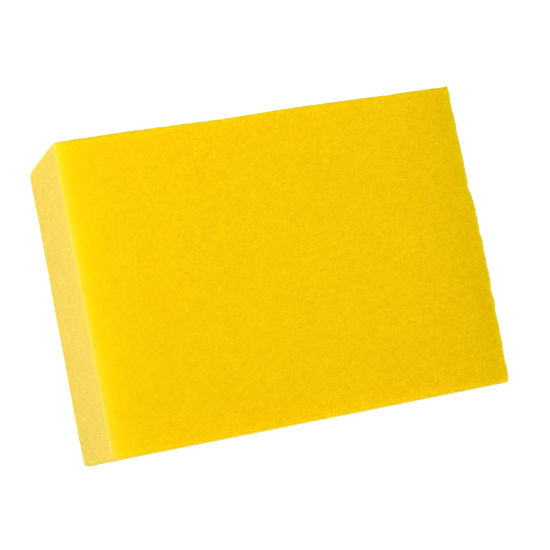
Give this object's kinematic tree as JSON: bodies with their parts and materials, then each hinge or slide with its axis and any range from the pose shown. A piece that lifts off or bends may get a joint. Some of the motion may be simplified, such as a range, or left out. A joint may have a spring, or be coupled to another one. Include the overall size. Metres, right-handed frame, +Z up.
{
  "type": "foam sponge block",
  "caption": "Plain rectangular block of fine-celled yellow foam, held in the hand to dab, wipe or spread paint, paste or water.",
  "frame": {"origin": "middle of the broad face that the block rests on", "axes": "+X along the length, +Y across the width, +Z up through the thickness, out of the upper broad face"},
  "size_m": [0.16, 0.119, 0.06],
  "materials": {
    "foam": "matte"
  },
  "bodies": {
    "root": {"foam_block": "foam"}
  },
  "joints": []
}
